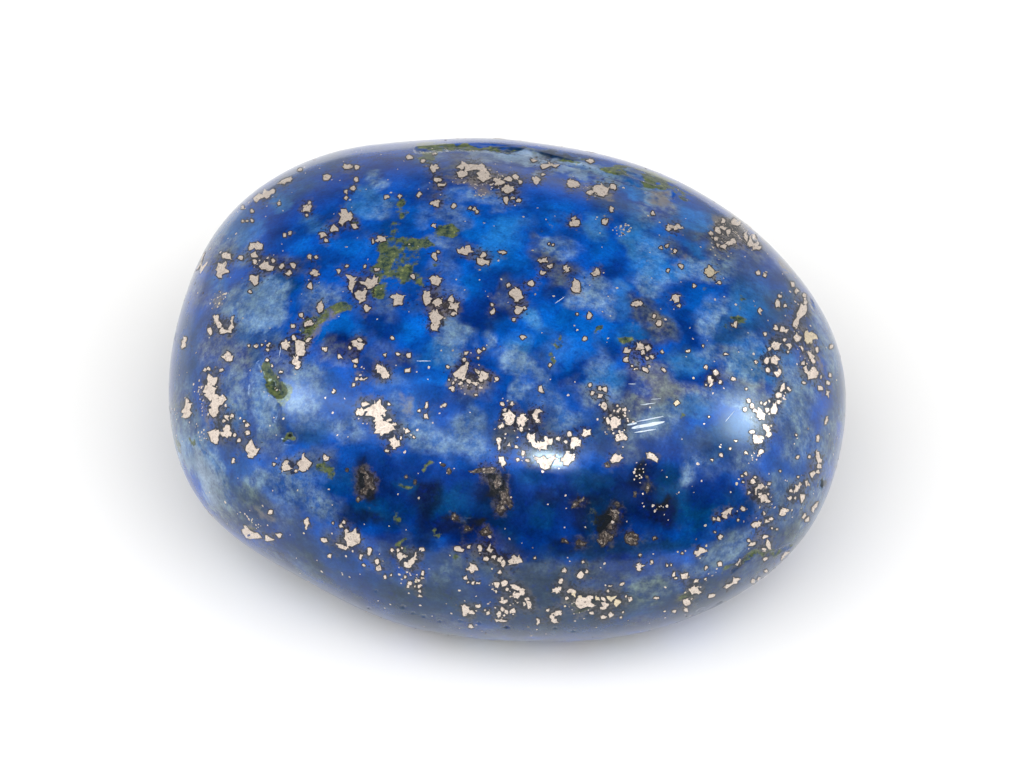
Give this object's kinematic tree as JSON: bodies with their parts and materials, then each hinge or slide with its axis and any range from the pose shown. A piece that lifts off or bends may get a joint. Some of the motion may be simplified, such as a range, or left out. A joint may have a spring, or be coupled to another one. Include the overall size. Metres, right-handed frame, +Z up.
{
  "type": "tumbled lapis lazuli stone",
  "caption": "Polished oval pebble of blue lapis lazuli with pale clouds and brassy pyrite grains, lying on a flat worn side.",
  "frame": {"origin": "under the middle of the stone, on the surface that it lies on", "axes": "+X along the stone's length, +Y towards its back, +Z up from the flat that it lies on"},
  "size_m": [0.03, 0.0252, 0.0145],
  "materials": {
    "polished_lapis": "polished"
  },
  "bodies": {
    "root": {"lapis_stone": "polished_lapis"}
  },
  "joints": []
}
